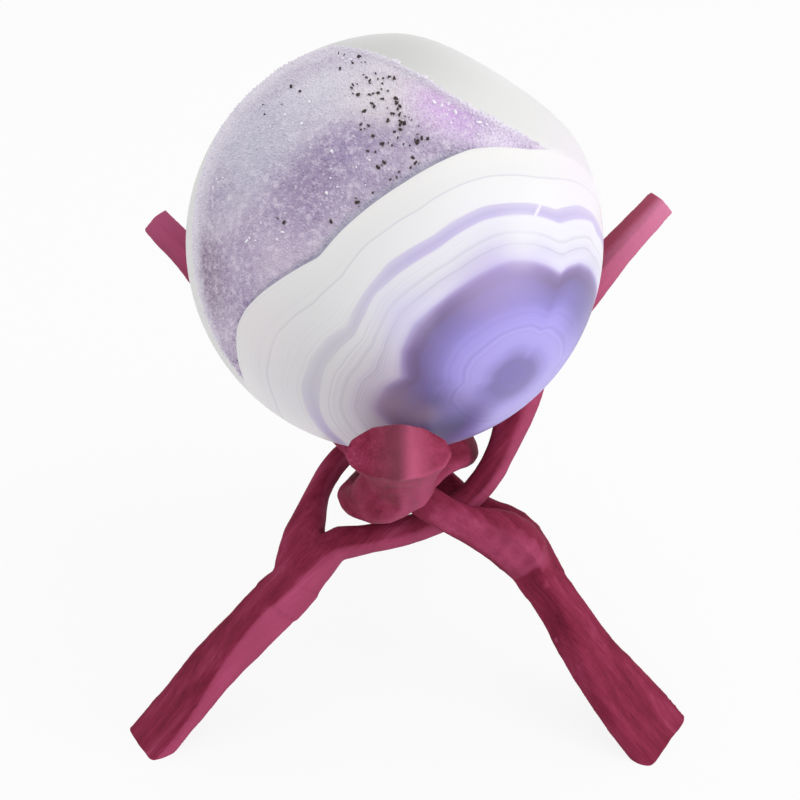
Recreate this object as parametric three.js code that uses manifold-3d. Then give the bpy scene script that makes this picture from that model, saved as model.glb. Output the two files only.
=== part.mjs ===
import * as THREE from 'three';
import { mergeVertices } from 'three/addons/utils/BufferGeometryUtils.js';
import Module from 'manifold-3d';

const wasm = await Module();
wasm.setup();

// An agate ball on a folding stand of three interlocked wooden legs, in millimetres, +Z up.
// Every leg runs through the crossing from its foot to its tip and opens there into an eye.
// The next leg round passes through that eye, so the three hold each other without a pin.

// Stance: the slope of a leg above the floor and the reach from the crossing to the sole.
const legRise = 37;
const footReach = 79.5;

// Clearance where the ball rests on the arms.
const restGap = 0.3;

// Eye: the upper strand bows out nearer the foot, the lower strand nearer the tip.
const upperWidth = 5;
const lowerWidth = 6.2;
const strandThickness = 7.6;
const eyePlay = 5.7;
const eyeFootReach = 27;
const eyeTipReach = 33;
const eyeLead = 5.8;
const eyeCore = 19;
const eyeRoll = 60;
const eyeFullness = 1;

// Bow of a leg: the knee rises and sways off the straight line, the arm hangs a little below it.
// The root of an arm is deepest below where it joins the eye.
const kneeAt = 30;
const kneeSpan = 60;
const swayAt = 31;
const armAt = 34;
const armSpan = 40;
const rootSpan = 26;

// A crest stands up on the knee, and a cheek hangs from the upper strand of the eye.
const crestSpan = 14;
const cheekAt = -1;
const cheekSpan = 24;

// Sections along a leg: the knee before the fork, the taper into the strands, the root of the arm.
const forkAt = 26;
const forkTaper = 12;
const kneeWidth = 8;
const upperForkWidth = 9;
const armThickness = 9;

// The ridge of a bevelled tip stands off the middle of the leg.
const tipRidge = 1;

// Corners of a section: a small value is square, one is round.
const footCorner = 0.36;
const eyeCorner = 0.8;

// The hand carved differences between the legs.
const back = {
  name: 'leg_back',
  bearing: 270,
  footWidth: 15,
  footThickness: 5,
  footSway: 0,
  kneeLift: 5.6,
  kneeSway: 4.2,
  kneeThickness: 10.4,
  kneeCrest: 0,
  cheekDepth: 3.6,
  upperPlay: 2.8,
  lowerPlay: 0,
  rootDepth: 3.5,
  armWidth: 14,
  armDip: 0.8,
  tipReach: 80,
  tipWidth: 20.5,
  tipThickness: 10.6,
  tipCorner: 1.05,
  tipLift: 1,
  tipYaw: -1,
  tipBevels: [24, -36],
};
const frontLeft = {
  name: 'leg_front_left',
  bearing: 30,
  footWidth: 13.5,
  footThickness: 4.2,
  footSway: 0,
  kneeLift: 4,
  kneeSway: 2.4,
  kneeThickness: 10.4,
  kneeCrest: 0,
  cheekDepth: 0,
  upperPlay: 0,
  lowerPlay: 2.2,
  rootDepth: 0,
  armWidth: 10,
  armDip: 0.5,
  tipReach: 84.2,
  tipWidth: 5.6,
  tipThickness: 5.6,
  tipCorner: 0.36,
  tipLift: 1.4,
  tipYaw: 0,
  tipBevels: [],
};
const frontRight = {
  name: 'leg_front_right',
  bearing: 150,
  footWidth: 20.5,
  footThickness: 4.2,
  footSway: 1.3,
  kneeLift: 5.6,
  kneeSway: 4.6,
  kneeThickness: 8.2,
  kneeCrest: 4,
  cheekDepth: 0,
  upperPlay: 0,
  lowerPlay: 1.5,
  rootDepth: 0,
  armWidth: 10,
  armDip: 2.3,
  tipReach: 80,
  tipWidth: 5.4,
  tipThickness: 5.8,
  tipCorner: 0.36,
  tipLift: 0,
  tipYaw: 0,
  tipBevels: [],
};

// Agate ball: its size and two shallow flattenings, the crystal face high on the front left
// and a worn shoulder high on the back right.
const ballDiameter = 86;
const faceBearing = 236;
const faceRise = 56;
const faceSpread = 62;
const faceDepth = 2.2;
const shoulderBearing = 36;
const shoulderRise = 49;
const shoulderSpread = 34;
const shoulderDepth = 2.9;

// The agate grew in shells round a heart low on the front right, and left a pocket of crystals in the face.
// The two edges of the pocket are in degrees: round the heart, counted from the level, and away from it.
const heartBearing = 304;
const heartRise = -15.4;
const pocketDepth = 1;
const pocketNear = [
  [64, 62.2], [79.3, 62.9], [91.6, 65], [147.5, 66.3],
  [164.8, 74.4], [180, 79.1], [201, 79.1],
];
const pocketFar = [
  [64, 62.6], [79.7, 72.7], [88.3, 85.3], [94.3, 105.1], [98.6, 126.5],
  [132.5, 125.6], [152.8, 118.6], [169.4, 111.2], [182.8, 100.2], [201, 80.1],
];

// Fineness of the sweeps and of the ball.
const sectionSides = 12;
const mainSteps = 48;
const upperSteps = 26;
const ballSegments = 48;
const ballRings = 32;
const pocketSteps = 30;
const pocketStrips = 8;

const { degToRad, lerp, smoothstep } = THREE.MathUtils;
const crossingHeight = footReach * Math.sin(degToRad(legRise));
const eyeHalfWidth = strandThickness / 2 + eyePlay;
const strandEnd = eyeTipReach + eyeLead;

// A hump of height one over the span from -1 to 1, and the fuller bow of a strand.
const hump = (x) => (Math.abs(x) < 1 ? Math.cos(x * Math.PI / 2) ** 2 : 0);
const bow = (x) => (Math.abs(x) < 1 ? Math.cos(x * Math.PI / 2) ** eyeFullness : 0);

// The outline of a section: the circle pushed towards a rectangle.
const pushed = (x, corner) => Math.sign(x) * (Math.round(Math.abs(x) * 1e4) / 1e4) ** corner;

// A value that eases from stop to stop along the leg.
function along(stops, s) {
  let value = stops[0][1];
  for (let i = 1; i < stops.length; i += 1) {
    value += (stops[i][1] - stops[i - 1][1]) * smoothstep(s, stops[i - 1][0], stops[i][0]);
  }
  return value;
}

// A value that runs straight from stop to stop.
function straight(stops, s) {
  const next = Math.max(1, stops.findIndex(([place]) => place >= s));
  const [[fromPlace, fromValue], [toPlace, toValue]] = stops.slice(next - 1, next + 1);
  return lerp(fromValue, toValue, (s - fromPlace) / (toPlace - fromPlace));
}

// The direction with a bearing round Z and a rise above the floor.
function heading(bearing, rise) {
  const level = Math.cos(degToRad(rise));
  const x = level * Math.cos(degToRad(bearing));
  const y = level * Math.sin(degToRad(bearing));
  return new THREE.Vector3(x, y, Math.sin(degToRad(rise)));
}

// One strand swept along the leg: side 1 is the upper strand, side -1 the lower one with foot and arm.
// Across the leg t lies level and m points up, while w spans the eye and n runs through it.
function strand(leg, side, from, to, steps) {
  const d = heading(leg.bearing, legRise);
  const t = heading(leg.bearing + 90, 0);
  const m = new THREE.Vector3().crossVectors(d, t);
  const w = m.clone().applyAxisAngle(d, -degToRad(eyeRoll));
  const n = new THREE.Vector3().crossVectors(d, w);
  const strandWidth = side > 0 ? upperWidth : lowerWidth;
  const forkWidth = side > 0 ? upperForkWidth : kneeWidth;
  const strandOffset = side * (eyeHalfWidth + strandWidth / 2 + (side > 0 ? leg.upperPlay : leg.lowerPlay));
  const centre = (s) => {
    const fromPeak = s + side * eyeLead;
    const lift = leg.kneeLift * hump((s + kneeAt) / kneeSpan)
      - leg.armDip * hump((s - armAt) / armSpan)
      + leg.tipLift * smoothstep(s, armAt, leg.tipReach);
    const sway = leg.tipYaw * smoothstep(s, eyeCore, leg.tipReach)
      - leg.kneeSway * hump((s + swayAt) / swayAt)
      - leg.footSway * smoothstep(-s, swayAt, footReach);
    return new THREE.Vector3(0, 0, crossingHeight)
      .addScaledVector(d, s)
      .addScaledVector(m, lift)
      .addScaledVector(t, sway)
      .addScaledVector(w, strandOffset * bow(fromPeak / (fromPeak < 0 ? eyeFootReach : eyeTipReach)));
  };
  const widths = [
    [-footReach, leg.footWidth],
    [-forkAt - forkTaper, forkWidth],
    [-forkAt, forkWidth],
    [-forkAt + forkTaper, strandWidth],
    [eyeCore, strandWidth],
    [armAt, leg.armWidth],
    [leg.tipReach, leg.tipWidth],
  ];
  const thicknesses = [
    [-footReach, leg.footThickness],
    [-forkAt - forkTaper, leg.kneeThickness],
    [-forkAt, leg.kneeThickness],
    [-forkAt + forkTaper, strandThickness],
    [eyeCore, strandThickness],
    [armAt, armThickness],
    [leg.tipReach, leg.tipThickness],
  ];
  const corners = [
    [-strandEnd, footCorner],
    [-eyeCore, eyeCorner],
    [eyeCore, eyeCorner],
    [strandEnd, leg.tipCorner],
  ];
  const turns = [
    [-strandEnd, degToRad(90 - eyeRoll)],
    [-eyeCore, 0],
    [eyeCore, 0],
    [strandEnd, degToRad(90 - eyeRoll)],
  ];
  const geometry = new THREE.CylinderGeometry(1, 1, 1, sectionSides, steps);
  const place = geometry.getAttribute('position');
  for (let i = 0; i < place.count; i += 1) {
    const s = lerp(from, to, place.getY(i) + 0.5);
    const tangent = centre(s + 0.1).sub(centre(s - 0.1)).normalize();
    const turn = along(turns, s);
    const u = w.clone().multiplyScalar(Math.cos(turn)).addScaledVector(n, -Math.sin(turn));
    u.addScaledVector(tangent, -u.dot(tangent)).normalize();
    const v = new THREE.Vector3().crossVectors(u, tangent);
    const corner = along(corners, s);
    const across = pushed(place.getX(i), corner) * along(widths, s) / 2;
    const sunk = leg.rootDepth * hump((s - armAt) / rootSpan);
    const cheek = side > 0 ? leg.cheekDepth * hump((s - cheekAt) / cheekSpan) : 0;
    const crest = leg.kneeCrest * hump((s + forkAt) / crestSpan);
    const spare = place.getZ(i) > 0 ? sunk + cheek : crest;
    const through = pushed(place.getZ(i), corner) * (along(thicknesses, s) / 2 + spare);
    const p = centre(s).addScaledVector(u, across).addScaledVector(v, through);
    place.setXYZ(i, p.x, p.y, p.z);
  }
  return geometry;
}

// A three.js geometry as a solid.
function toSolid(geometry) {
  const bare = new THREE.BufferGeometry();
  bare.setAttribute('position', geometry.getAttribute('position'));
  bare.setIndex(geometry.getIndex());
  const merged = mergeVertices(bare, 1e-4);
  return new wasm.Manifold(new wasm.Mesh({
    numProp: 3,
    vertProperties: new Float32Array(merged.getAttribute('position').array),
    triVerts: new Uint32Array(merged.getIndex().array),
  }));
}

// A solid as a named node.
function toNode(name, solid, material) {
  const mesh = solid.getMesh();
  const shared = new THREE.BufferGeometry();
  shared.setAttribute('position', new THREE.BufferAttribute(new Float32Array(mesh.vertProperties), 3));
  shared.setIndex(new THREE.BufferAttribute(new Uint32Array(mesh.triVerts), 1));
  const geometry = shared.toNonIndexed();
  geometry.computeVertexNormals();
  const node = new THREE.Mesh(geometry, material);
  node.name = name;
  return node;
}

// The offcut of a tip: a block whose face stands upright through the ridge, turned by the bevel.
function offcut(leg, bevel) {
  const d = heading(leg.bearing, legRise);
  const t = heading(leg.bearing + 90, 0);
  const m = new THREE.Vector3().crossVectors(d, t);
  const outward = d.clone().applyAxisAngle(m, -degToRad(bevel));
  const side = new THREE.Vector3().crossVectors(m, outward);
  const ridge = new THREE.Vector3(0, 0, crossingHeight)
    .addScaledVector(d, leg.tipReach)
    .addScaledVector(t, tipRidge);
  const block = new THREE.BoxGeometry(leg.tipWidth, 4 * leg.tipWidth, 4 * leg.tipWidth);
  block.translate(leg.tipWidth / 2, 0, 0);
  block.applyMatrix4(new THREE.Matrix4().makeBasis(outward, side, m).setPosition(ridge));
  return toSolid(block);
}

// A leg: both strands joined, the foot cut level with the floor and a broad tip bevelled to a ridge.
function carve(leg) {
  const below = -footReach - 2 * leg.footThickness;
  const lower = toSolid(strand(leg, -1, below, leg.tipReach, mainSteps));
  const upper = toSolid(strand(leg, 1, -strandEnd, strandEnd, upperSteps));
  const ground = new THREE.BoxGeometry(4 * footReach, 4 * footReach, footReach);
  ground.translate(0, 0, -footReach / 2);
  let solid = lower.add(upper).subtract(toSolid(ground));
  for (const bevel of leg.tipBevels) {
    solid = solid.subtract(offcut(leg, bevel));
  }
  return solid;
}

// The lowest height of the ball over a place on the floor that keeps the rest gap to the legs.
function restHeight(points, x, y) {
  const reach = ballDiameter / 2 + restGap;
  let height = 0;
  for (let i = 0; i < points.length; i += 3) {
    const room = reach ** 2 - (points[i] - x) ** 2 - (points[i + 1] - y) ** 2;
    if (room > 0) {
      height = Math.max(height, points[i + 2] + Math.sqrt(room));
    }
  }
  return height;
}

// The ball rolls to the place where it sits lowest, held by all three legs.
function settle(points) {
  const seat = new THREE.Vector3(0, 0, restHeight(points, 0, 0));
  for (let step = 2; step > 0.005; step /= 2) {
    for (let turn = 0; turn < 360; turn += 15) {
      const place = heading(turn, 0).multiplyScalar(step).add(seat);
      const height = restHeight(points, place.x, place.y);
      if (height < seat.z) {
        seat.set(place.x, place.y, height);
        turn = -15;
      }
    }
  }
  return seat;
}

// The radius of the ball in a direction: a sphere drawn in softly at the crystal face and the shoulder.
function ballReach(direction) {
  const offFace = heading(faceBearing, faceRise).angleTo(direction) / degToRad(faceSpread);
  const offShoulder = heading(shoulderBearing, shoulderRise).angleTo(direction) / degToRad(shoulderSpread);
  return ballDiameter / 2 - faceDepth * hump(offFace) - shoulderDepth * hump(offShoulder);
}

// The stone that is missing from the crystal pocket, from its floor to outside the ball.
function pocket() {
  const d = heading(heartBearing, heartRise);
  const t = heading(heartBearing + 90, 0);
  const m = new THREE.Vector3().crossVectors(d, t);
  const [start] = pocketNear[0];
  const [end] = pocketNear[pocketNear.length - 1];
  const geometry = new THREE.BoxGeometry(1, 1, 1, pocketStrips, pocketSteps, 1);
  const place = geometry.getAttribute('position');
  for (let i = 0; i < place.count; i += 1) {
    const round = lerp(start, end, place.getY(i) + 0.5);
    const near = straight(pocketNear, round);
    const away = degToRad(lerp(near, straight(pocketFar, round), place.getX(i) + 0.5));
    const p = d.clone().multiplyScalar(Math.cos(away))
      .addScaledVector(t, Math.sin(away) * Math.cos(degToRad(round)))
      .addScaledVector(m, Math.sin(away) * Math.sin(degToRad(round)));
    p.multiplyScalar(ballReach(p) + (place.getZ(i) < 0 ? -pocketDepth : 4 * pocketDepth));
    place.setXYZ(i, p.x, p.y, p.z);
  }
  return toSolid(geometry);
}

// The ball with its pocket, set down on its seat.
function polish(seat) {
  const geometry = new THREE.SphereGeometry(1, ballSegments, ballRings);
  geometry.rotateX(Math.PI / 2);
  const place = geometry.getAttribute('position');
  const p = new THREE.Vector3();
  for (let i = 0; i < place.count; i += 1) {
    p.fromBufferAttribute(place, i).normalize();
    p.multiplyScalar(ballReach(p));
    place.setXYZ(i, p.x, p.y, p.z);
  }
  return toSolid(geometry).subtract(pocket()).translate(seat.toArray());
}

const wood = new THREE.MeshStandardMaterial({ color: 0x8e2c4f, roughness: 0.5, metalness: 0 });
const agate = new THREE.MeshStandardMaterial({ color: 0xd9d5e8, roughness: 0.2, metalness: 0 });

const group = new THREE.Group();
const touched = [];
for (const leg of [back, frontLeft, frontRight]) {
  const solid = carve(leg);
  touched.push(...solid.getMesh().vertProperties);
  group.add(toNode(leg.name, solid, wood));
}
group.add(toNode('agate_sphere', polish(settle(touched)), agate));

// The origin is the middle of the footprint box, on the floor.
const middle = new THREE.Box3().setFromObject(group).getCenter(new THREE.Vector3());
for (const node of group.children) {
  node.geometry.translate(-middle.x, -middle.y, 0);
}

export default group;
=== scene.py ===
import math

import bpy
import numpy as np
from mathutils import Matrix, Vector


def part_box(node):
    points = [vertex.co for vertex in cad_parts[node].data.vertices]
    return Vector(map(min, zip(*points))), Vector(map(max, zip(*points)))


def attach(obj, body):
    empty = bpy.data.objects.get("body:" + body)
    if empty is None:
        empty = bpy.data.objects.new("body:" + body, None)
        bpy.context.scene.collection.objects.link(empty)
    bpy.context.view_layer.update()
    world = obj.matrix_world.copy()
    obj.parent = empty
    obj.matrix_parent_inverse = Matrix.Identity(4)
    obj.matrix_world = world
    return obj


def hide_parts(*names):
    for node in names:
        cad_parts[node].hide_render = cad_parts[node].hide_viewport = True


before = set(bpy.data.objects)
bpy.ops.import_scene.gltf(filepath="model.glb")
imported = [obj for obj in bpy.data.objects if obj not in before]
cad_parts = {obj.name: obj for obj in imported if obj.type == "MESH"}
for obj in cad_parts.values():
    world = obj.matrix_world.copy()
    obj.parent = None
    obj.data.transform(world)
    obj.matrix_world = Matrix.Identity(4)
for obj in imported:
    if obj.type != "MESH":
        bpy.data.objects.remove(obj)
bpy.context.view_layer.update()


# The stand: three legs, each carved from one piece of wood that opens into an eye at the crossing.
# Each leg is threaded through the eye of the next, so the stand needs no pin or glue and folds flat.
# The knife leaves soft arrises and shallow dents, and the wood is dyed raspberry and waxed.
leg_rise = 37
leg_bearings = {"leg_back": 270, "leg_front_left": 30, "leg_front_right": 150}
fibre_width = 0.0005
streak_width = 0.003
fibre_stretch = 12
soak_width = 0.014
ripple_width = 0.0016
stroke_length = 0.009
stroke_depth = 0.0006
carving_grain = 0.0005
sawn_off = 0.003
# The direction of the lights: wood facets that face it get painted light.
painted_light_from = (0.55, -0.8, -0.25)
# The dye near the tips: a paler end-grain tint for each side of the leg, one side painted lit and the other
# painted shaded, and how far it reaches from the tip.
tip_end_grain_and_painted_light = {
    "leg_back": ("#80505e", "#cc6688", 0.0035),
    "leg_front_left": ("#ee96ba", "#c0607a", 0.03),
    "leg_front_right": ("#6e2c40", "#c8668e", 0.03),
}


def colour(code):
    """A sRGB hex colour as linear light."""
    parts = [int(code[i : i + 2], 16) / 255 for i in (1, 3, 5)]
    return [c / 12.92 if c <= 0.04045 else ((c + 0.055) / 1.055) ** 2.4 for c in parts] + [1]


def add(tree, kind, links, stops=(), **settings):
    """A node with its settings, its ramp's stops, and its sockets set or linked by name or number."""
    made = tree.nodes.new(kind)
    for name, value in settings.items():
        setattr(made, name, value)
    if stops:
        while len(made.color_ramp.elements) < len(stops):
            made.color_ramp.elements.new(0.5)
        for element, (place, tint) in zip(made.color_ramp.elements, stops):
            element.position = place
            element.color = colour(tint)
    for socket, value in links.items():
        if isinstance(value, bpy.types.NodeSocket):
            tree.links.new(value, made.inputs[socket])
        else:
            made.inputs[socket].default_value = value
    return made


def finish_of(name):
    """A bare material, its node tree and its shader."""
    made = bpy.data.materials.new(name)
    made.use_nodes = True
    return made, made.node_tree, made.node_tree.nodes["Principled BSDF"]


for leg, bearing in leg_bearings.items():
    # Dyed, waxed hardwood: the dye sinks in unevenly, fibres run along the leg, and the wax gives a low
    # gloss. Facets facing the lights on the right are painted pinker as painted light; the arrises are
    # painted lighter, part wear and part painted sheen; towards the tip the end grain is paler, with a
    # painted lit side and a painted shaded side. The knife leaves fine ripples across the leg.
    wood, tree, shader = finish_of(f"raspberry_dyed_wood_{leg}")
    surface = add(tree, "ShaderNodeTexCoord", {})
    place = surface.outputs["Object"]
    lying = (0, -math.radians(leg_rise), math.radians(bearing))
    along = add(
        tree,
        "ShaderNodeMapping",
        {"Vector": place, "Rotation": lying, "Scale": (fibre_stretch, 1, 1)},
        vector_type="TEXTURE",
    ).outputs["Vector"]
    fibres = add(
        tree, "ShaderNodeTexNoise", {"Vector": along, "Scale": 1 / fibre_width, "Detail": 3}
    ).outputs["Fac"]
    streaks = add(
        tree, "ShaderNodeTexNoise", {"Vector": along, "Scale": 1 / streak_width, "Detail": 2}
    ).outputs["Fac"]
    soaked = add(
        tree, "ShaderNodeTexNoise", {"Vector": place, "Scale": 1 / soak_width, "Detail": 2}
    ).outputs["Fac"]
    mixed = add(tree, "ShaderNodeMix", {0: 0.45, 2: streaks, 3: soaked}).outputs[0]
    mixed = add(tree, "ShaderNodeMix", {0: 0.3, 2: mixed, 3: fibres}).outputs[0]
    dye = add(
        tree,
        "ShaderNodeValToRGB",
        {"Fac": mixed},
        stops=[(0.34, "#661930"), (0.46, "#80253f"), (0.56, "#90304e"), (0.68, "#a84668")],
    ).outputs["Color"]
    # Painted light: facets that face the lights from the right are painted pinker, standing in for their
    # light.
    facing_painted_light = add(
        tree,
        "ShaderNodeVectorMath",
        {0: surface.outputs["Normal"], 1: painted_light_from},
        operation="DOT_PRODUCT",
    ).outputs["Value"]
    painted_window_light = add(tree, "ShaderNodeMapRange", {0: facing_painted_light, 1: 0.6, 2: 0.95, 3: 0, 4: 0.45}).outputs[0]
    dye = add(tree, "ShaderNodeMix", {0: painted_window_light, 6: dye, 7: colour("#cc5f88")}, data_type="RGBA").outputs[2]
    # Part wear, part painted sheen: the arrises are painted a lighter pink.
    arris = add(tree, "ShaderNodeNewGeometry", {}).outputs["Pointiness"]
    arris_wear_and_sheen = add(tree, "ShaderNodeMapRange", {0: arris, 1: 0.53, 2: 0.6, 3: 0, 4: 0.4}).outputs[0]
    dye = add(tree, "ShaderNodeMix", {0: arris_wear_and_sheen, 6: dye, 7: colour("#b8527e")}, data_type="RGBA").outputs[2]
    level = math.cos(math.radians(leg_rise))
    along_leg = Vector(
        (
            level * math.cos(math.radians(bearing)),
            level * math.sin(math.radians(bearing)),
            math.sin(math.radians(leg_rise)),
        )
    )
    tip_at = max(along_leg.dot(vertex.co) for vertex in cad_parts[leg].data.vertices)
    reach = add(
        tree, "ShaderNodeVectorMath", {0: place, 1: along_leg}, operation="DOT_PRODUCT"
    ).outputs["Value"]
    one_side, other_side, pale_reach = tip_end_grain_and_painted_light[leg]
    # Paler end grain near the tip, with painted light on the side facing the lights and painted shade on the
    # other.
    tip = add(
        tree, "ShaderNodeMapRange", {0: reach, 1: tip_at - pale_reach, 2: tip_at, 3: 0, 4: 0.6}
    ).outputs[0]
    beside = along_leg.cross((0, 0, 1))
    side = add(tree, "ShaderNodeVectorMath", {0: place, 1: beside}, operation="DOT_PRODUCT").outputs["Value"]
    side = add(tree, "ShaderNodeMapRange", {0: side, 1: 0.0018, 2: 0.0004, 3: 0, 4: 1}).outputs[0]
    tip_lit_and_shaded_sides = add(
        tree, "ShaderNodeMix", {0: side, 6: colour(one_side), 7: colour(other_side)}, data_type="RGBA"
    ).outputs[2]
    dye = add(tree, "ShaderNodeMix", {0: tip, 6: dye, 7: tip_lit_and_shaded_sides}, data_type="RGBA").outputs[2]
    tree.links.new(dye, shader.inputs["Base Color"])
    gloss = add(tree, "ShaderNodeMapRange", {0: fibres, 1: 0.3, 2: 0.7, 3: 0.6, 4: 0.8}).outputs[0]
    tree.links.new(gloss, shader.inputs["Roughness"])
    grain = add(tree, "ShaderNodeBump", {"Strength": 0.35, "Distance": 0.0002, "Height": mixed}).outputs[0]
    across = add(
        tree,
        "ShaderNodeMapping",
        {"Vector": place, "Rotation": lying, "Scale": (0.5, 4, 4)},
        vector_type="TEXTURE",
    ).outputs["Vector"]
    ripples = add(
        tree, "ShaderNodeTexNoise", {"Vector": across, "Scale": 1 / ripple_width, "Detail": 1}
    ).outputs["Fac"]
    grain = add(
        tree, "ShaderNodeBump", {"Strength": 0.4, "Distance": 0.0003, "Height": ripples, "Normal": grain}
    ).outputs[0]
    tree.links.new(grain, shader.inputs["Normal"])
    shader.inputs["Specular IOR Level"].default_value = 0.08

    bpy.ops.object.select_all(action="DESELECT")
    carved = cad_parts[leg].copy()
    carved.data = carved.data.copy()
    carved.name = carved.data.name = f"carved_{leg}"
    for key in list(carved.keys()):
        del carved[key]
    carved.parent = None
    bpy.context.collection.objects.link(carved)
    bpy.context.view_layer.objects.active = carved
    carved.select_set(True)
    bpy.ops.object.mode_set(mode="EDIT")
    bpy.ops.mesh.select_all(action="SELECT")
    bpy.ops.mesh.remove_doubles(threshold=1e-6)
    bpy.ops.object.mode_set(mode="OBJECT")
    # The foot is carved longer than it is and sawn off level at the end.
    spare = sawn_off / math.sin(math.radians(leg_rise))
    for vertex in carved.data.vertices:
        if vertex.co.z < 1e-5:
            vertex.co -= spare * along_leg
    solid = carved.modifiers.new("solid", "REMESH")
    solid.mode = "VOXEL"
    solid.voxel_size = carving_grain
    bpy.ops.object.modifier_apply(modifier="solid")
    soft = carved.modifiers.new("soft", "SMOOTH")
    soft.factor = 0.5
    soft.iterations = 4
    bpy.ops.object.modifier_apply(modifier="soft")
    strokes = bpy.data.textures.new(f"knife_strokes_{leg}", "CLOUDS")
    strokes.noise_scale = stroke_length
    dents = carved.modifiers.new("dents", "DISPLACE")
    dents.texture = strokes
    dents.strength = stroke_depth
    dents.mid_level = 0.5
    bpy.ops.object.modifier_apply(modifier="dents")
    bpy.ops.object.mode_set(mode="EDIT")
    bpy.ops.mesh.select_all(action="SELECT")
    bpy.ops.mesh.bisect(
        plane_co=(0, 0, 0), plane_no=(0, 0, 1), use_fill=True, clear_inner=True, threshold=1e-7
    )
    bpy.ops.object.mode_set(mode="OBJECT")
    bpy.ops.object.shade_smooth_by_angle(angle=math.radians(50))
    carved.data.materials.clear()
    carved.data.materials.append(wood)
    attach(carved, leg)
    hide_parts(leg)


# The ball: one druzy agate, ground round and polished.
# Its bands grew in shells round a violet heart and left a pocket of crystals open on the other side.
# The mesh is a round ball whose rings follow the growth, so that each band has an edge of its own.
heart = Vector((0.5391, -0.7993, -0.2656)).normalized()
heart_right = Vector((0.824, 0.511, 0.246))
heart_right = (heart_right - heart_right.dot(heart) * heart).normalized()
heart_up = heart.cross(heart_right)
crystal_face = Vector((-0.313, -0.464, 0.829))
face_spread = math.radians(62)
face_depth = 0.0022
shoulder = Vector((0.531, 0.386, 0.755))
shoulder_spread = math.radians(34)
shoulder_depth = 0.0029
pocket_depth = 0.001
near_wall = 0.0005
far_wall = 0.0035
crust_margin_near = 0.0006
crust_margin = 0.00012
# Each outline is in degrees: round the heart, and away from it.
heart_edge = [
    (5, 38), (30, 34.5), (40, 31.5), (44, 29.5), (49, 30), (62, 32), (77, 34), (115, 35), (130, 36),
    (143, 35), (157, 32), (165, 35), (180, 37), (194, 34.5), (220, 34), (263, 42), (298, 46), (330, 45.5),
]
lilac_inside = [
    (18, 47.5), (24, 48.5), (36, 46), (49, 43), (72, 46), (84, 47), (102, 46.5), (130, 49), (138, 48),
    (146, 47.5), (156, 50.5), (163, 52), (178, 53), (208, 53.5), (252, 64), (290, 64.5), (327, 58),
]
lilac_outside = [
    (11, 51.5), (24, 51), (36, 49.5), (51, 46), (70, 48.5), (82, 50), (102, 49.5), (119, 51.5), (138, 51),
    (144, 50), (151, 53), (159, 55), (175, 57.5), (195, 56.5), (208, 57), (252, 67), (290, 67.5), (327, 61.5),
]
pocket_near = [
    (22, 63.5), (50, 62.5), (58, 62), (65, 63), (77, 65), (100, 65), (122, 66), (132, 66), (141, 70),
    (151, 74.5), (159, 77.5), (166, 79), (188, 79), (210, 86), (260, 90), (300, 84), (338, 74),
]
pocket_far = [
    (22, 63.5), (50, 62.5), (54, 64.5), (62, 69.5), (70, 77), (74, 85), (77, 96), (81, 115), (83, 127),
    (88, 135), (97, 140), (118, 139), (128, 136), (139, 130), (148, 121), (162, 107), (176, 94.5), (182, 88),
    (188, 79), (210, 86), (260, 90), (300, 84), (338, 74),
]
# The share of the mesh's rings, from the heart to the back, at which each shell of the growth lies.
level_rings = [0, 0.17, 0.27, 0.32, 0.42, 0.76, 1]
bpy.ops.object.select_all(action="DESELECT")
bpy.ops.mesh.primitive_uv_sphere_add(segments=440, ring_count=190, radius=1)
ball = bpy.context.object
ball.name = ball.data.name = "druzy_agate_ball"
low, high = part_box("agate_sphere")
ball_radius = (high.x - low.x) / 2
ball_centre = Vector(((low.x + high.x) / 2, (low.y + high.y) / 2, low.z + ball_radius))
unit = np.array([v.co for v in ball.data.vertices], float)
down = np.arccos(np.clip(unit[:, 2], -1, 1)) / math.pi
turn = np.degrees(np.arctan2(unit[:, 1], unit[:, 0])) % 360
level = np.interp(down, level_rings, range(7))
in_pocket = (level > 4) & (level < 5)
level[in_pocket] = 4.5 - 0.5 * np.cos(math.pi * (level[in_pocket] - 4))


def drawn(outline, around):
    """The outline's angle from the heart at each angle round it, eased at its corners."""
    fine = np.arange(0, 360, 0.5)
    angles = np.interp(fine, *zip(*outline), period=360)
    ease = np.exp(-0.5 * (np.arange(-6, 7) / 2) ** 2)
    angles = np.convolve(np.concatenate([angles[-6:], angles, angles[:6]]), ease / ease.sum(), "valid")
    return np.interp(around, fine, angles, period=360)


def outward_at(around, away):
    """The direction out of the ball's centre at two angles in radians: round the heart, and away from it."""
    right, upward, middle = np.array(heart_right), np.array(heart_up), np.array(heart)
    sideways = np.cos(around)[..., None] * right + np.sin(around)[..., None] * upward
    return np.cos(away)[..., None] * middle + np.sin(away)[..., None] * sideways


def clouded(tree, place, stone, clouds):
    """The stone's colour with clouds, among them painted shade and a painted highlight: each lies round one
    place on the ball and fades out at its reach.
    """
    for spot, reach, strength, tint in clouds:
        centre = ball_centre + ball_radius * Vector(spot)
        apart = add(
            tree, "ShaderNodeVectorMath", {0: place, 1: centre}, operation="DISTANCE"
        ).outputs["Value"]
        near = add(
            tree,
            "ShaderNodeMapRange",
            {0: apart, 1: reach, 2: 0, 3: 0, 4: strength},
            interpolation_type="SMOOTHSTEP",
        ).outputs[0]
        stone = add(
            tree, "ShaderNodeMix", {0: near, 6: stone, 7: colour(tint)}, data_type="RGBA"
        ).outputs[2]
    return stone


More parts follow.
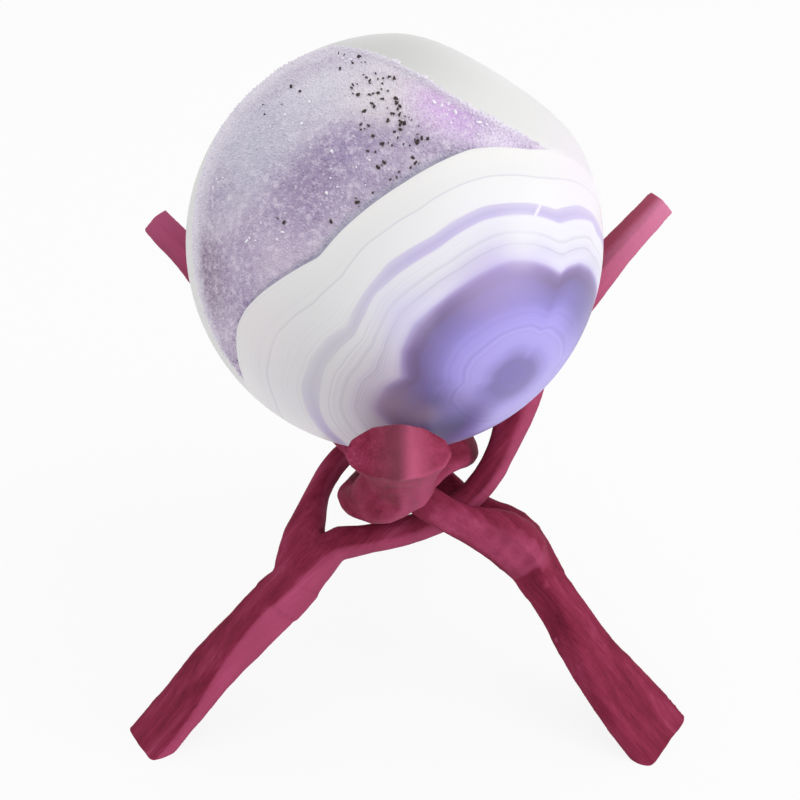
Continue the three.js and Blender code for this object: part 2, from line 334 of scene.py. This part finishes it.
shells = [drawn(line, turn) for line in (heart_edge, lilac_inside, lilac_outside, pocket_near, pocket_far)]
shells = np.array([np.zeros_like(turn), *shells, np.full_like(turn, 180)])
shells[5] = np.maximum(shells[5], shells[4])
inner = np.clip(level.astype(int), 0, 5)
share = level - inner
vertex = np.arange(len(turn))
away = np.radians(shells[inner, vertex] * (1 - share) + shells[inner + 1, vertex] * share)
outward = outward_at(np.radians(turn), away)
off_face = np.minimum(np.arccos(np.clip(outward @ np.array(crystal_face), -1, 1)) / face_spread, 1)
off_shoulder = np.minimum(np.arccos(np.clip(outward @ np.array(shoulder), -1, 1)) / shoulder_spread, 1)
pocket_width = np.radians(shells[5] - shells[4]) * ball_radius
from_near = np.clip(level - 4, 0, 1) * pocket_width
from_far = np.clip(5 - level, 0, 1) * pocket_width
from_edge = np.minimum(from_near - crust_margin_near, from_far)
wall = np.clip(np.minimum(from_near / near_wall, from_far / far_wall), 0, 1)
drawn_in = pocket_depth * wall * wall * (3 - 2 * wall)
drawn_in += face_depth * np.cos(off_face * math.pi / 2) ** 2
drawn_in += shoulder_depth * np.cos(off_shoulder * math.pi / 2) ** 2
surface_at = (ball_radius - drawn_in)[:, None] * outward + np.array(ball_centre)
ball.data.vertices.foreach_set("co", surface_at.ravel())
ball.data.attributes.new("growth", "FLOAT", "POINT").data.foreach_set("value", level)
for face in ball.data.polygons:
    middle = np.mean(level[list(face.vertices)])
    face.material_index = 1 if 4 < middle < 5 else 0
    face.select = from_edge[list(face.vertices)].min() > crust_margin
crystal_bed = [face.select for face in ball.data.polygons]

# Polished banded agate: white chalcedony with hair lines, a lilac band and a clear violet heart.
# The polish gives a soft gloss, and light goes a little way into the stone.
band_wander = 0.012
hair_lines_per_shell = 40
folds_per_shell = 16
agate, tree, shader = finish_of("polished_banded_agate")
place = add(tree, "ShaderNodeTexCoord", {}).outputs["Object"]
grown = add(tree, "ShaderNodeAttribute", {}, attribute_name="growth").outputs["Fac"]
wander = add(
    tree, "ShaderNodeTexNoise", {"Vector": place, "Scale": 1 / band_wander, "Detail": 2}
).outputs["Fac"]
wander = add(tree, "ShaderNodeMapRange", {0: wander, 1: 0, 2: 1, 3: -0.05, 4: 0.05}).outputs[0]
shell = add(tree, "ShaderNodeMath", {0: grown, 1: wander}).outputs[0]
sixth = add(tree, "ShaderNodeMath", {0: shell, 1: 6}, operation="DIVIDE").outputs[0]
bands = add(
    tree,
    "ShaderNodeValToRGB",
    {"Fac": sixth},
    stops=[
        (0.0, "#8579b6"), (0.03, "#8a7eba"), (0.048, "#b0a4ea"), (0.07, "#baaef2"), (0.09, "#afa3ee"),
        (0.104, "#a79be6"), (0.118, "#9488cc"), (0.134, "#8a7db8"), (0.15, "#82719c"), (0.16, "#927fb0"),
        (0.168, "#b4a6d4"), (0.178, "#dcd6f0"), (0.195, "#e4e1f2"), (0.226, "#e0ddec"), (0.229, "#bfbbce"),
        (0.232, "#e2dfee"), (0.262, "#e8e7ee"), (0.266, "#dad8e4"), (0.28, "#eae9f0"), (0.325, "#ebeaf1"),
        (0.336, "#cec5e8"), (0.4, "#c6bde2"), (0.492, "#d6cfe9"), (0.504, "#eeedf0"), (0.578, "#eeedee"),
        (0.582, "#dbd9e0"), (0.586, "#ecebec"), (0.65, "#efeeed"), (0.83, "#e4e4e3"), (0.85, "#e2e2e0"),
        (0.88, "#e6e5e6"), (1.0, "#e6e2e6"),
    ],
).outputs["Color"]
lines = add(tree, "ShaderNodeMath", {0: shell, 1: hair_lines_per_shell}, operation="MULTIPLY").outputs[0]
lines = add(
    tree, "ShaderNodeTexNoise", {"W": lines, "Scale": 1, "Detail": 1}, noise_dimensions="1D"
).outputs["Fac"]
lines = add(tree, "ShaderNodeMapRange", {0: lines, 1: 0.55, 2: 0.72, 3: 0, 4: 0.4}).outputs[0]
outside = add(tree, "ShaderNodeMapRange", {0: grown, 1: 1.05, 2: 1.2, 3: 0, 4: 1}).outputs[0]
veined = ball_centre + ball_radius * Vector((-0.34, -0.89, -0.3))
veined = add(tree, "ShaderNodeVectorMath", {0: place, 1: veined}, operation="DISTANCE").outputs["Value"]
veined = add(tree, "ShaderNodeMapRange", {0: veined, 1: 0.012, 2: 0.036, 3: 1, 4: 0.2}).outputs[0]
fewer = add(tree, "ShaderNodeMapRange", {0: grown, 1: 2.9, 2: 3.1, 3: 1, 4: 0.4}).outputs[0]
veined = add(tree, "ShaderNodeMath", {0: veined, 1: fewer}, operation="MULTIPLY").outputs[0]
behind = add(tree, "ShaderNodeMapRange", {0: grown, 1: 5.4, 2: 5.7, 3: 0, 4: 0.9}).outputs[0]
veined = add(tree, "ShaderNodeMath", {0: veined, 1: behind}, operation="MAXIMUM").outputs[0]
veined = add(tree, "ShaderNodeMath", {0: veined, 1: outside}, operation="MULTIPLY").outputs[0]
lines = add(tree, "ShaderNodeMath", {0: lines, 1: veined}, operation="MULTIPLY").outputs[0]
stone = add(tree, "ShaderNodeMix", {0: lines, 6: bands, 7: colour("#b9b4c6")}, data_type="RGBA").outputs[2]
folds = add(tree, "ShaderNodeMath", {0: shell, 1: folds_per_shell}, operation="MULTIPLY").outputs[0]
folds = add(
    tree, "ShaderNodeTexNoise", {"W": folds, "Scale": 1, "Detail": 2}, noise_dimensions="1D"
).outputs["Fac"]
folds = add(tree, "ShaderNodeMapRange", {0: folds, 1: 0.48, 2: 0.68, 3: 0, 4: 0.3}).outputs[0]
within = add(tree, "ShaderNodeMapRange", {0: grown, 1: 0.75, 2: 0.9, 3: 1, 4: 0}).outputs[0]
folds = add(tree, "ShaderNodeMath", {0: folds, 1: within}, operation="MULTIPLY").outputs[0]
stone = add(tree, "ShaderNodeMix", {0: folds, 6: stone, 7: colour("#8a80cc")}, data_type="RGBA").outputs[2]
stone_tints_and_painted_light = (
    ((-0.02, 0.09, 1), 0.026, 0.6, "#c6c7c3"),
    # Painted shade: greyer towards the lower left, away from the lights.
    ((-0.34, -0.89, -0.3), 0.024, 0.3, "#d0ced4"),
    ((-0.57, -0.82, -0.02), 0.013, 0.5, "#f2e4e8"),
    ((0.89, -0.13, 0.45), 0.022, 0.3, "#f0dcf4"),
    ((0.52, -0.81, 0.26), 0.014, 0.5, "#b8a8e2"),
    ((0.38, -0.89, 0.23), 0.01, 0.4, "#b6a2d2"),
    ((0.87, -0.49, -0.07), 0.012, 0.55, "#766ca4"),
    ((0.35, -0.84, -0.41), 0.01, 0.6, "#776cac"),
    ((0.17, -0.93, -0.32), 0.008, 0.65, "#54487c"),
    ((0.26, -0.8, -0.55), 0.012, 0.85, "#362d64"),
    ((0.12, -0.9, -0.41), 0.006, 0.65, "#b09cb2"),
    ((0, -0.94, -0.33), 0.009, 0.7, "#bcaac6"),
    ((0.02, -0.98, 0.18), 0.009, 0.5, "#dcd6f8"),
    # Painted highlight: a soft white patch at the heart's upper rim, where the lights reflect.
    ((0.56, -0.72, 0.4), 0.008, 0.5, "#f2f2f0"),
    ((0.627, -0.622, 0.469), 0.0006, 0.9, "#f6f2fa"),
    ((0.634, -0.609, 0.477), 0.0007, 0.9, "#f6f2fa"),
    ((0.641, -0.596, 0.484), 0.0007, 0.9, "#f6f2fa"),
    ((0.648, -0.582, 0.492), 0.0006, 0.9, "#f6f2fa"),
)
stone = clouded(tree, place, stone, stone_tints_and_painted_light)
# Painted shade: the lilac band and the white beyond it are greyed and a little darker towards the lower left.
painted_shade_lower_left = ball_centre + ball_radius * Vector((-0.29, -0.96, -0.04))
painted_shade_lower_left = add(tree, "ShaderNodeVectorMath", {0: place, 1: painted_shade_lower_left}, operation="DISTANCE").outputs["Value"]
painted_shade_lower_left = add(tree, "ShaderNodeMapRange", {0: painted_shade_lower_left, 1: 0.026, 2: 0.006, 3: 0, 4: 1}).outputs[0]
beyond = add(tree, "ShaderNodeMapRange", {0: grown, 1: 1.4, 2: 1.95, 3: 0, 4: 1}).outputs[0]
painted_shade_lower_left = add(tree, "ShaderNodeMath", {0: painted_shade_lower_left, 1: beyond}, operation="MULTIPLY").outputs[0]
stone = add(
    tree, "ShaderNodeHueSaturation", {"Saturation": 0.35, "Value": 0.96, "Fac": painted_shade_lower_left, "Color": stone}
).outputs[0]
tree.links.new(stone, shader.inputs["Base Color"])
shader.inputs["Roughness"].default_value = 0.36
shader.inputs["IOR"].default_value = 1.54
shader.inputs["Specular IOR Level"].default_value = 0.3
shader.inputs["Subsurface Weight"].default_value = 0.2
shader.inputs["Subsurface Radius"].default_value = (0.9, 0.8, 1.0)
shader.inputs["Subsurface Scale"].default_value = 0.0015
ball.data.materials.append(agate)

# Druzy quartz: a crust of small six sided points, lilac in the stone, grey where thin and pink where clear.
# The faces of the points glint one by one; each point differs a little in depth of colour.
crust_cloud = 0.009
sugar_grain = 0.0014
pole_gap = 0.00003
druzy, tree, shader = finish_of("lilac_druzy_quartz")
place = add(tree, "ShaderNodeTexCoord", {}).outputs["Object"]
cloud = add(
    tree, "ShaderNodeTexNoise", {"Vector": place, "Scale": 1 / crust_cloud, "Detail": 4}
).outputs["Fac"]
crust = add(
    tree,
    "ShaderNodeValToRGB",
    {"Fac": cloud},
    stops=[(0.35, "#d2c8da"), (0.5, "#c4b6cd"), (0.65, "#b5a5c1")],
).outputs["Color"]
crust_tints_and_painted_light = (
    ((-0.66, -0.32, 0.68), 0.026, 0.8, "#c8c7d8"),
    ((-0.32, -0.16, 0.93), 0.02, 0.85, "#e2e0ea"),
    ((-0.04, -0.31, 0.95), 0.014, 0.8, "#eee8ea"),
    ((-0.23, -0.58, 0.79), 0.012, 0.8, "#9a84b2"),
    ((-0.4, -0.66, 0.64), 0.013, 0.85, "#9a84ac"),
    ((-0.53, -0.72, 0.45), 0.013, 0.6, "#b49fc2"),
    ((-0.71, -0.67, 0.2), 0.014, 0.45, "#b8a4c4"),
    ((-0.52, -0.79, 0.33), 0.009, 0.6, "#d6c4d8"),
    ((-0.88, -0.46, 0.08), 0.013, 0.85, "#907494"),
    ((-0.72, -0.09, 0.69), 0.014, 0.7, "#d6d4e4"),
    # Partly painted light: lighter at the top, lifting the shade of the pocket's far wall.
    ((0, -0.07, 1), 0.011, 0.7, "#ece6ee"),
    ((0.14, -0.3, 0.94), 0.008, 0.6, "#e4c6ee"),
    ((0.23, -0.39, 0.89), 0.009, 0.8, "#e6c2f2"),
    ((0.34, -0.43, 0.84), 0.008, 0.7, "#dcbcec"),
    ((0.52, -0.44, 0.73), 0.012, 0.8, "#eee2f6"),
)
crust = clouded(tree, place, crust, crust_tints_and_painted_light)
sugar = add(
    tree, "ShaderNodeTexNoise", {"Vector": place, "Scale": 1 / sugar_grain, "Detail": 2}
).outputs["Fac"]
sugar = add(tree, "ShaderNodeMapRange", {0: sugar, 1: 0.5, 2: 0.68, 3: 0, 4: 0.45}).outputs[0]
crust = add(tree, "ShaderNodeMix", {0: sugar, 6: crust, 7: colour("#f0e9f4")}, data_type="RGBA").outputs[2]
depth = add(tree, "ShaderNodeAttribute", {}, attribute_name="depth").outputs["Fac"]
depth = add(tree, "ShaderNodeMapRange", {0: depth, 1: 0.4, 2: 1, 3: 0, 4: 0.4}).outputs[0]
crust = add(tree, "ShaderNodeMix", {0: depth, 6: crust, 7: colour("#e4dcec")}, data_type="RGBA").outputs[2]
grown = add(tree, "ShaderNodeAttribute", {}, attribute_name="growth").outputs["Fac"]
rim = add(tree, "ShaderNodeMapRange", {0: grown, 1: 4.01, 2: 4.04, 3: 0.6, 4: 0}).outputs[0]
crust = add(tree, "ShaderNodeMix", {0: rim, 6: crust, 7: colour("#9fa3b6")}, data_type="RGBA").outputs[2]
# Paler towards the far edge, partly painted light that lifts the crystals' own shade on the far wall.
far_edge_pale_and_painted_fill = add(tree, "ShaderNodeMapRange", {0: grown, 1: 4.75, 2: 4.95, 3: 0, 4: 0.85}).outputs[0]
crust = add(tree, "ShaderNodeMix", {0: far_edge_pale_and_painted_fill, 6: crust, 7: colour("#ece8f2")}, data_type="RGBA").outputs[2]
tree.links.new(crust, shader.inputs["Base Color"])
shader.inputs["Roughness"].default_value = 0.2
shader.inputs["IOR"].default_value = 1.544
ball.data.materials.append(druzy)
crystals = ball.copy()
crystals.data = ball.data.copy()
bpy.ops.object.mode_set(mode="EDIT")
bpy.ops.mesh.select_all(action="SELECT")
bpy.ops.mesh.remove_doubles(threshold=pole_gap)
bpy.ops.mesh.normals_make_consistent(inside=False)
bpy.ops.object.mode_set(mode="OBJECT")
bpy.ops.object.shade_smooth()
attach(ball, "agate_sphere")
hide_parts("agate_sphere")


# The crystal crust: thousands of quartz points that grew on the floor of the pocket.
# One point is a low six sided cone; copies of it cover the floor, each turned, leaned and sized differently.
point_width = 0.0013
point_height = 0.0008
point_spacing = 0.0006
points_per_square_metre = 1.4e7
lean_most = 0.4
smallest, largest = 0.65, 1.2
bpy.ops.object.select_all(action="DESELECT")
bpy.ops.mesh.primitive_cone_add(vertices=6, radius1=point_width / 2, radius2=0, depth=point_height)
point = bpy.context.object
bpy.ops.object.select_all(action="DESELECT")
crystals.name = crystals.data.name = "druzy_quartz_points"
bpy.context.collection.objects.link(crystals)
bpy.context.view_layer.objects.active = crystals
crystals.select_set(True)
bpy.ops.object.mode_set(mode="EDIT")
bpy.ops.mesh.select_mode(type="FACE")
bpy.ops.mesh.select_all(action="DESELECT")
bpy.ops.object.mode_set(mode="OBJECT")
for face, wanted in zip(crystals.data.polygons, crystal_bed):
    face.select = not wanted
bpy.ops.object.mode_set(mode="EDIT")
bpy.ops.mesh.delete(type="FACE")
bpy.ops.object.mode_set(mode="OBJECT")
crust_tree = bpy.data.node_groups.new("crystal_crust", "GeometryNodeTree")
crust_tree.interface.new_socket("Geometry", in_out="INPUT", socket_type="NodeSocketGeometry")
crust_tree.interface.new_socket("Geometry", in_out="OUTPUT", socket_type="NodeSocketGeometry")
floor_in = add(crust_tree, "NodeGroupInput", {}).outputs[0]
seats = add(
    crust_tree,
    "GeometryNodeDistributePointsOnFaces",
    {"Mesh": floor_in, "Distance Min": point_spacing, "Density Max": points_per_square_metre, "Seed": 5},
    distribute_method="POISSON",
)
lean = add(
    crust_tree,
    "FunctionNodeRandomValue",
    {0: (-lean_most, -lean_most, 0), 1: (lean_most, lean_most, 6.28), "Seed": 2},
    data_type="FLOAT_VECTOR",
).outputs[0]
lean = add(
    crust_tree, "FunctionNodeRotateRotation", {0: seats.outputs["Rotation"], 1: lean}, rotation_space="LOCAL"
).outputs[0]
size = add(crust_tree, "FunctionNodeRandomValue", {2: smallest, 3: largest, "Seed": 3}).outputs[1]
shape = add(crust_tree, "GeometryNodeObjectInfo", {0: point}).outputs["Geometry"]
grown = add(
    crust_tree,
    "GeometryNodeInstanceOnPoints",
    {"Points": seats.outputs["Points"], "Instance": shape, "Rotation": lean, "Scale": size},
).outputs[0]
tone = add(crust_tree, "FunctionNodeRandomValue", {2: 0, 3: 1, "Seed": 4}).outputs[1]
grown = add(
    crust_tree,
    "GeometryNodeStoreNamedAttribute",
    {"Geometry": grown, "Name": "depth", "Value": tone},
    data_type="FLOAT",
    domain="INSTANCE",
).outputs[0]
grown = add(crust_tree, "GeometryNodeRealizeInstances", {0: grown}).outputs[0]
add(crust_tree, "NodeGroupOutput", {0: grown})
growing = crystals.modifiers.new("growing", "NODES")
growing.node_group = crust_tree
bpy.ops.object.modifier_apply(modifier="growing")
bpy.data.objects.remove(point)
crystals.data.materials.clear()
crystals.data.materials.append(druzy)
bpy.ops.object.shade_flat()
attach(crystals, "agate_sphere")


# Grains on the crust: dark brown specks of iron ore in a trail across the pocket, and white points that are
# painted glints. Each grain is a small lump, half sunk in the crust. They lie in clusters: the middle's
# angles round the heart and away from it, the spread both ways in degrees, and how many grains there are.
strewn = np.random.default_rng(8)
narrow, wide = 0.0004, 0.0011
grain_stands = 0.0003
grain_break = 0.0004
break_depth = 0.0005
trail = [
    ((87, 113), (5, 8), 8), ((85, 99), (3, 5), 9), ((92, 101), (5, 5), 8), ((89, 88), (3.5, 7), 19),
    ((96, 87), (4, 6), 7), ((89.5, 77), (4, 5), 20), ((98, 74), (5, 7), 14), ((110, 69), (5, 1.5), 4),
    ((123, 70), (1, 1), 2), ((132.5, 85), (1, 5), 2), ((108, 118), (14, 6), 5), ((90, 67.5), (4, 1), 3),
]
# Painted glints: clusters of white points that stand in for glints.
clear = [
    ((142, 111), (4, 2), 4), ((138, 83), (9, 7), 7), ((110, 80), (10, 9), 9), ((112, 106), (9, 6), 4),
    ((86, 114), (5, 3), 3), ((76, 77), (2, 7), 7), ((70, 71), (3, 2.5), 6),
]
for name, tint, gloss, clusters in (
    ("iron_ore_specks", "#33231f", 0.45, trail),
    ("clear_quartz_points", "#fbf9ff", 0.1, clear),
):
    # Iron ore is a dull brown black; the white points, painted glints, are white and glassy.
    mineral, tree, shader = finish_of(name)
    shader.inputs["Base Color"].default_value = colour(tint)
    shader.inputs["Roughness"].default_value = gloss
    bpy.ops.object.select_all(action="DESELECT")
    lumps = []
    for middle, spread, count in clusters:
        for around, away in middle + strewn.uniform(-1, 1, (count, 2)) * spread:
            width = narrow + (wide - narrow) * strewn.random() ** 2
            out = Vector(outward_at(np.radians(around), np.radians(away)))
            sunk = float(drawn_in[np.argmax(outward @ np.array(out))]) - grain_stands
            bpy.ops.mesh.primitive_ico_sphere_add(
                subdivisions=2,
                radius=0.42 * width,
                location=ball_centre + (ball_radius - sunk) * out,
                rotation=(around, away, 0),
                scale=(1.2, 0.75, 0.6),
            )
            lumps.append(bpy.context.object)
    for lump in lumps:
        lump.select_set(True)
    bpy.ops.object.join()
    bpy.ops.object.transform_apply(location=True, rotation=True, scale=True)
    lumps = bpy.context.object
    lumps.name = lumps.data.name = name
    broken = bpy.data.textures.new(f"broken_{name}", "CLOUDS")
    broken.noise_scale = grain_break
    ragged = lumps.modifiers.new("ragged", "DISPLACE")
    ragged.texture = broken
    ragged.strength = break_depth
    ragged.mid_level = 0.5
    bpy.ops.object.modifier_apply(modifier="ragged")
    lumps.data.materials.append(mineral)
    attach(lumps, "agate_sphere")


# The studio: a pale floor, broad soft lights from above and from the right, and a white surround.
# The camera stands in front and looks down on the stand.
floor_glow = 0.87
surround_light = 0.79
aim = Vector((0, 0, 0.09))


def looked_at(tree):
    """One where the surround is seen straight, in a gloss or through a clear piece, and nought elsewhere."""
    rays = add(tree, "ShaderNodeLightPath", {}).outputs
    seen = add(
        tree,
        "ShaderNodeMath",
        {0: rays["Is Camera Ray"], 1: rays["Is Glossy Ray"]},
        operation="MAXIMUM",
    ).outputs[0]
    return add(
        tree, "ShaderNodeMath", {0: seen, 1: rays["Is Transmission Ray"]}, operation="MAXIMUM"
    ).outputs[0]


bpy.ops.object.select_all(action="DESELECT")
bpy.ops.mesh.primitive_plane_add(size=6)
ground = bpy.context.object
ground.name = "studio_floor"
paper, tree, shader = finish_of("white_paper")
shader.inputs["Base Color"].default_value = colour("#f4f3f6")
shader.inputs["Roughness"].default_value = 0.9
white = add(tree, "ShaderNodeEmission", {"Color": (1, 1, 1, 1), "Strength": 1}).outputs[0]
part = add(tree, "ShaderNodeMath", {0: looked_at(tree), 1: floor_glow}, operation="MULTIPLY").outputs[0]
mixed = add(tree, "ShaderNodeMixShader", {0: part, 1: shader.outputs[0], 2: white}).outputs[0]
tree.links.new(mixed, tree.nodes["Material Output"].inputs["Surface"])
ground.data.materials.append(paper)

sky = bpy.data.worlds.new("white_surround")
bpy.context.scene.world = sky
sky.use_nodes = True
tree = sky.node_tree
power = add(tree, "ShaderNodeMapRange", {0: looked_at(tree), 1: 0, 2: 1, 3: surround_light, 4: 1}).outputs[0]
tree.links.new(power, tree.nodes["Background"].inputs["Strength"])
tree.nodes["Background"].inputs["Color"].default_value = (1, 1, 1, 1)

for name, spot, size, watts in (
    ("key_softbox", (0.4, -0.25, 0.75), 0.5, 1.1),
    ("side_window", (0.75, -0.2, 0.2), 0.5, 1.4),
):
    bpy.ops.object.light_add(type="AREA", location=spot)
    lamp = bpy.context.object
    lamp.name = name
    lamp.data.size = size
    lamp.data.energy = watts
    lamp.rotation_euler = (aim - Vector(spot)).to_track_quat("-Z", "Y").to_euler()

bpy.ops.object.camera_add(location=(-0.00187, -0.37446, 0.30105), rotation=(math.radians(58.1), 0, 0))
camera = bpy.context.object
sensor_width, picture_width, focal_pixels = 36, 800, 2033
camera.data.sensor_width = sensor_width
camera.data.lens = sensor_width * focal_pixels / picture_width
camera.data.clip_start = 0.01
bpy.context.scene.camera = camera
bpy.context.scene.view_settings.view_transform = "Standard"
